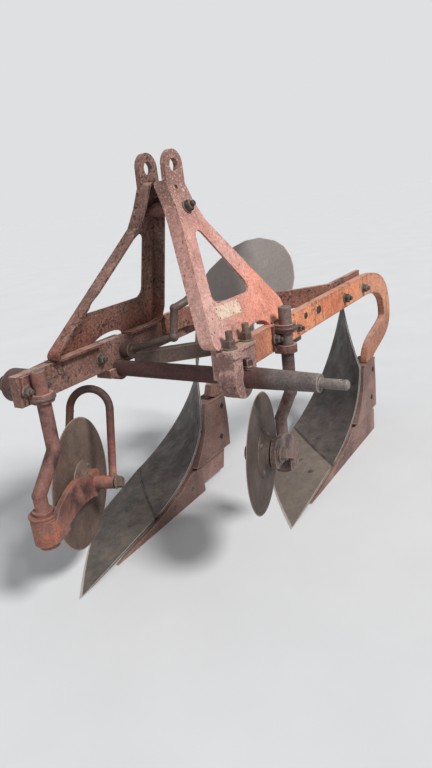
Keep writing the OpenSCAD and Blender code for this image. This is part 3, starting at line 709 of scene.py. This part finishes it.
# ---------------------------------------------------------------- the rear beam, its gooseneck drawn finer
def gooseneck_outline(y, start):
    """The bar's outline in (Y, Z): the CAD's own middle line, y being the frog's back edge."""
    mid_z, low, half = BEAM_TOP - BEAM_DEPTH / 2, FROG_TOP, BEAM_DEPTH / 2
    bulge = NECK_BULGE - half
    bend = [(y - 120, mid_z), (y + 20, mid_z), (y + bulge, mid_z + 10), (y + bulge, mid_z - 150)]
    down = [(y + bulge, mid_z - 150), (y + bulge, mid_z - 225), (y + 4, low + 70), (y + 4, low)]
    line = [Vector((start, mid_z))]
    line += [bez([Vector(p) for p in bend], i / 48) for i in range(48)]
    line += [bez([Vector(p) for p in down], i / 40) for i in range(41)]
    sides = []
    for hand in (1, -1):
        kept = []
        for i, p in enumerate(line):
            d = (line[min(i + 1, len(line) - 1)] - line[max(i - 1, 0)]).normalized()
            q = p + Vector((-d.y, d.x)) * half * hand
            if i == len(line) - 1:
                q = Vector((p.x + half * hand, low))
            if kept and ((q - kept[-1]).dot(d) < 2.0 or q.y < low):
                continue
            kept.append(q)
        sides.append(kept)
    return [tuple(p) for p in sides[0] + sides[1][::-1]]


bar = sheet_plate("rear_beam_bar", gooseneck_outline(REAR_TIP[1] + FROG_BACK, NECK_START), BEAM_T,
                  (XR - BEAM_T / 2, 0, 0), (0, 1, 0), UP, "orange_paint", SLOT_OF["rear_beam"], bevel=2.6,
                  smooth=38)
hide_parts("rear_beam")

# ---------------------------------------------------------------- bolts and holes on beams, frogs and landsides
side = XR + BEAM_T / 2
for i, (y, z, size) in enumerate(((327, 556, 17), (686, 562, 24), (862, 560, 24))):
    bolt(f"rear_beam_bolt_{i + 1}", (side, y, z), LEFT, size, 9, "faded_paint")
dark_hole("rear_beam_hole_1", (side, 383, 576), LEFT, 7, "faded_paint", long=5)
dark_hole("rear_beam_hole_2", (side, 475, 572), LEFT, 9.5, "faded_paint", long=10)
for i, y in enumerate((-60, 330, 398)):
    bolt(f"front_beam_bolt_{i + 1}", (XF + BEAM_T / 2, y, BOLT_LINE), LEFT, 22, 9, "rusty_paint")
for i, y in enumerate((-180, 120, 355)):
    bolt(f"front_beam_nut_{i + 1}", (XF - BEAM_T / 2, y, BOLT_LINE), RIGHT, 22, 11, "rusty_paint")


for end, tip in BOTTOMS:
    x0, y0 = tip[0], tip[1]
    for i, (y, z) in enumerate(((722, 250), (700, 150))):
        # The square heads take the near-black hole finish: painted shade.
        square = turned((x0 + 12.2, y0 + y, z), LEFT, [(-0.6, 10.5), (2.2, 10.2), (3.0, 8.4)], n=4)
        piece(f"{end}_frog_bolt_{i + 1}", *square, "hole_dark", "rusty_iron", smooth=30, bevel=0.6)
    for i, y in enumerate((420, 520)):
        flat = turned((x0, y0 + y, 26 + (y - 400) * 0.14), LEFT,
                      [(-0.6, 12), (0.4, 12), (0.45, 10.6), (0.1, 10.4), (1.2, 9), (1.4, 4)], 28)
        piece(f"{end}_landside_bolt_{i + 1}", *flat, "dark_steel", "rusty_iron", smooth=30)
    rod(f"{end}_frog_lip", [(x0 + 13, y0 + 628, 288), (x0 + 14, y0 + 690, 287), (x0 + 13, y0 + 742, 286)], 3.4,
        "frog_iron", "rusty_iron", n=12, rough=0.12)
    for i, (y, z) in enumerate(((722, 196), (700, 120))):
        bolt(f"{end}_frog_nut_{i + 1}", (x0 + FROG_FACE_X + 0.8, y0 + y, z), RIGHT, 22, 12, "rusty_iron", "frog_iron")


# ---------------------------------------------------------------- mast: data plate, bolts and welds
def mast_face(y, z, hand=1):
    """A point on the outer face of a mast plate."""
    return (hand * (XR + MAST_T - LEAN * (z - BEAM_TOP)), y, z)


for hand, end in ((1, "left"), (-1, "right")):
    out = (hand, 0, LEAN)
    slot = "faded_paint" if hand > 0 else "rusty_paint"
    bolt(f"mast_{end}_cross_bolt", mast_face(EYE_Y, 898, hand), out, 23, 10, slot)
    dark_hole(f"mast_{end}_small_hole", mast_face(EYE_Y - 4, 944, hand), out, 3.6, slot)
    yf, yb = (-75, 285) if hand > 0 else (-230, 180)
    middle = (yf + yb) / 2
    y0, y1 = yf + 18, middle - 40
    for i, x in enumerate((XR + MAST_T + 1.2, XR - 0.5 - MAST_T * 0.2)):
        for run, ys in (("front", (y0, (y0 + y1) / 2, y1)), ("rear", (middle + 82, yb - 50, yb - 18))):
            rod(f"mast_{end}_weld_{run}_{i + 1}", [(hand * x, y, BEAM_TOP + 1.5) for y in ys],
                3.2, "rust_paint", slot, n=10, rough=0.5)

plate_corner = mast_face(-10, 655)
u_axis = Vector((0, 1, -0.03)).normalized()
v_axis = Vector((-LEAN, 0, 1)).normalized()
v_axis = (v_axis - u_axis * v_axis.dot(u_axis)).normalized()
w_axis = u_axis.cross(v_axis)
PLATE_T = 1.6


def on_plate(a, b, out):
    """A place on the data plate: along it, up it and out of it, in mm."""
    return Vector(plate_corner) + u_axis * a + v_axis * b + w_axis * out


outline = [(2, 0), (100, 0), (102, 2), (102, 30), (100, 32), (2, 32), (0, 30), (0, 2)]
sheet_plate("data_plate", outline, PLATE_T, plate_corner, u_axis, v_axis, "plate_metal", "faded_paint", bevel=0.4)
for i, (a, b) in enumerate(((5, 5), (97, 5), (5, 27), (97, 27))):
    parts = turned(on_plate(a, b, 1.5), w_axis, [(-0.2, 2.6), (0.4, 2.5), (1.0, 1.8), (1.3, 0.7)], 16)
    piece(f"data_plate_rivet_{i + 1}", *parts, "dark_steel", "faded_paint", smooth=60)
rim = [(3, 3), (99, 3), (99, 29), (3, 29), (3, 3)]
rod("data_plate_rim", [on_plate(a, b, PLATE_T) for a, b in rim], 0.5, "plate_metal", "faded_paint", n=6)

# ---------------------------------------------------------------- bracket: stud nuts and a set screw
for i, y in enumerate((-36, 36)):
    parts = join(turned((XR + 20, y, BEAM_TOP + 0.1), UP, [(0, 16.5), (2.4, 16.5), (3.2, 15.6)]),
                 hex_head((XR + 20, y, BEAM_TOP + 3.2), UP, 24, 17.5, 30))
    piece(f"bracket_stud_nut_{i + 1}", *parts, "dark_steel", "bare_steel", smooth=35, bevel=0.6)
square = join(turned((XR + 42, -4, HITCH_Z + 22), UP, [(0, 11), (6, 11), (7, 10)], 24),
              turned((XR + 42, -4, HITCH_Z + 29), UP, [(0, 12), (15, 12), (17, 10)], n=4, up=(1, 0.3, 0)))
piece("bracket_set_screw", *square, "pin_steel", "bare_steel", smooth=35, bevel=0.7)


# ---------------------------------------------------------------- coulters
def around(q, turn, x, y, z):
    """A point given in a coulter's own frame: X along its axle, Y away from the swivel."""
    t = math.radians(turn)
    return (q[0] + x * math.cos(t) - y * math.sin(t), q[1] + x * math.sin(t) + y * math.cos(t), z)


for end, q, turn, axle, hand, nut_at, cup_top in (
        ("front", FRONT_Q, FRONT_TURN, FRONT_AXLE, 1, FRONT_END, FRONT_CUP),
        ("rear", REAR_Q, REAR_TURN, REAR_AXLE, -1, REAR_END, REAR_CUP)):
    yoke, disc = end + "_yoke", end + "_disc"
    t = math.radians(turn)
    axis = Vector((math.cos(t), math.sin(t), 0))
    out = axis * hand
    parts = join(turned(around(q, turn, hand * nut_at, TRAIL, axle), out, [(-1, 18), (1.6, 18), (2.4, 17)]),
                 hex_head(around(q, turn, hand * (nut_at + 2), TRAIL, axle), out, 27, 15, 12))
    piece(f"{end}_axle_nut", *parts, "dark_steel", "rusty_iron", yoke, smooth=35, bevel=0.6)
    lip = turned(around(q, turn, 0, 0, cup_top - 4), UP, [(0, 32.6), (2, 34), (5, 34), (6.5, 32.4), (6, 29)], 48)
    piece(f"{end}_cup_lip", *lip, FINISH[end + "_coulter_yoke"], "rusty_iron", yoke, smooth=50)
    for face, which in ((1, "near"), (-1, "far")):
        normal = axis * face
        cap = turned(around(q, turn, face * 2.4, TRAIL, axle), normal,
                     [(0, 58), (3, 56.5), (5, 50), (6.5, 42), (9, 37.5), (17, 34.5)], 64)
        piece(f"{end}_disc_flange_{which}", *cap, FINISH[end + "_coulter_disc"], "rusty_iron", disc,
              smooth=40, bevel=0.8)
        for k in range(4):
            a = math.radians(45 + 90 * k)
            c = Vector(around(q, turn, face * 7.4, TRAIL, axle))
            flat = Vector((-math.sin(t), math.cos(t), 0))
            at = c + flat * RIVET_CIRCLE * math.cos(a) + Vector(UP) * RIVET_CIRCLE * math.sin(a)
            head = turned(at, normal, [(-2, 6.4), (1.2, 6.2), (3.0, 4.8), (3.8, 2.4)], 18)
            piece(f"{end}_disc_rivet_{which}_{k + 1}", *head, "dark_steel", "rusty_iron", disc, smooth=60)

for end, x, y, top, ring_z in (
        ("front", XF, FRONT_CLAMP_Y, BEAM_TOP + 4, 544), ("rear", XR, REAR_CLAMP_Y, BEAM_TOP + 40, 588)):
    for i, dy in enumerate((-25, 25)):
        bolt(f"{end}_clamp_nut_{i + 1}", (x + BEAM_T / 2 + 6.3, y + dy, CLAMP_NUT_Z), LEFT, 19, 9, "rusty_iron")
        bolt(f"{end}_clamp_back_nut_{i + 1}", (x - BEAM_T / 2, y + dy, CLAMP_NUT_Z), RIGHT, 19, 12, "rusty_iron")
    cx = x + STEM_X
    ring = turned((cx, y, ring_z), UP, [(-3.6, 25.4), (-3, 28), (0, 29.4), (3, 28), (3.6, 25.4)], 48)
    piece(f"{end}_clamp_ring", *ring, "dark_steel", "rusty_iron", smooth=60)
    cap = turned((cx, y, top), UP, [(-0.4, 15.9), (0.8, 15.2), (1.0, 11), (0.2, 9.6), (0.4, 4)], 40)
    piece(f"{end}_stem_top", *cap, "dark_steel", "rusty_iron", smooth=30)

# ---------------------------------------------------------------- the rounded sheet: two old scratches
sheet_y = (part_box("trash_shield")[0].y - SHIFT.y) * 1000 - 0.15
for i, pts in enumerate((((-88, 704), (-81, 690), (-82, 672), (-92, 648)), ((-70, 694), (-73, 682), (-77, 668)))):
    verts, faces = [], []
    for k, (x, z) in enumerate(pts):
        w = 1.6 if 0 < k < len(pts) - 1 else 0.5
        verts += [mm(x - w, sheet_y, z), mm(x + w, sheet_y, z), mm(x, sheet_y - 0.25, z)]
    for k in range(len(pts) - 1):
        a = 3 * k
        faces += [(a, a + 3, a + 5, a + 2), (a + 2, a + 5, a + 4, a + 1)]
    piece(f"shield_scratch_{i + 1}", verts, faces, "pale_mark", "soil_iron", smooth=60)

# ---------------------------------------------------------------- camera, floor, lights
CAM = (851.163, -1087.982, 926.25)
FOCAL_PX, IMAGE_HEIGHT, SENSOR = 593.998, 768, 36
az, el, roll = math.radians(33.66), math.radians(17.947), math.radians(-6.645)
back_v = Vector((math.sin(az) * math.cos(el), -math.cos(az) * math.cos(el), math.sin(el)))
right_v = Vector((math.cos(az), math.sin(az), 0))
up_v = right_v.cross(-back_v)
cam_right = math.cos(roll) * right_v + math.sin(roll) * up_v
cam_up = -math.sin(roll) * right_v + math.cos(roll) * up_v
camera_data = bpy.data.cameras.new("camera")
camera_data.sensor_width = SENSOR
camera_data.lens = FOCAL_PX / IMAGE_HEIGHT * SENSOR
camera_data.clip_end = 200
camera = bpy.data.objects.new("camera", camera_data)
bpy.context.scene.collection.objects.link(camera)
place = Matrix((cam_right, cam_up, back_v)).transposed().to_4x4()
place.translation = mm(*CAM)
camera.matrix_world = place
bpy.context.scene.camera = camera

FLOOR_HALF, FLOOR_DROP = 40, 0.0005
corners = [(x * FLOOR_HALF, y * FLOOR_HALF, 0) for x, y in ((-1, -1), (1, -1), (1, 1), (-1, 1))]
floor_mesh = bpy.data.meshes.new("floor")
floor_mesh.from_pydata(corners, [], [(0, 1, 2, 3)])
floor = bpy.data.objects.new("floor", floor_mesh)
floor.location.z = -FLOOR_DROP
bpy.context.scene.collection.objects.link(floor)
floor_shader = Shader("floor_pale", roughness=0.95, specular=0.1)
floor_mesh.materials.append(floor_shader.finish(
    floor_shader.ramp(floor_shader.noise(3, 3), [(0.3, grey(0.565)), (0.7, grey(0.592))])))

world = bpy.data.worlds.new("world")
world.use_nodes = True
wt = world.node_tree
wt.nodes.clear()
w_out, w_mix, w_ray, w_light, w_seen, w_any = (
    wt.nodes.new("ShaderNode" + kind)
    for kind in ("OutputWorld", "MixShader", "LightPath", "Background", "Background", "Math"))
w_light.inputs["Color"].default_value = (0.93, 0.96, 1.0, 1)
w_light.inputs["Strength"].default_value = 0.46
w_seen.inputs["Color"].default_value = (0.74, 0.745, 0.76, 1)
w_any.operation = "MAXIMUM"
for source, socket in (
        (w_ray.outputs["Is Camera Ray"], w_any.inputs[0]), (w_ray.outputs["Is Glossy Ray"], w_any.inputs[1]),
        (w_any.outputs[0], w_mix.inputs[0]), (w_light.outputs[0], w_mix.inputs[1]),
        (w_seen.outputs[0], w_mix.inputs[2]), (w_mix.outputs[0], w_out.inputs["Surface"])):
    wt.links.new(source, socket)
bpy.context.scene.world = world

for name, power, wide, direction in (
        ("key_sun", 3.5, 14, (0.75, -0.12, 0.75)), ("fill_sun", 0.4, 50, (0.3, -0.9, 0.5))):
    lamp = bpy.data.lights.new(name, "SUN")
    lamp.energy = power
    lamp.angle = math.radians(wide)
    lamp_object = bpy.data.objects.new(name, lamp)
    lamp_object.rotation_euler = Vector(direction).to_track_quat("Z", "Y").to_euler()
    bpy.context.scene.collection.objects.link(lamp_object)

bpy.context.scene.view_settings.view_transform = "Standard"
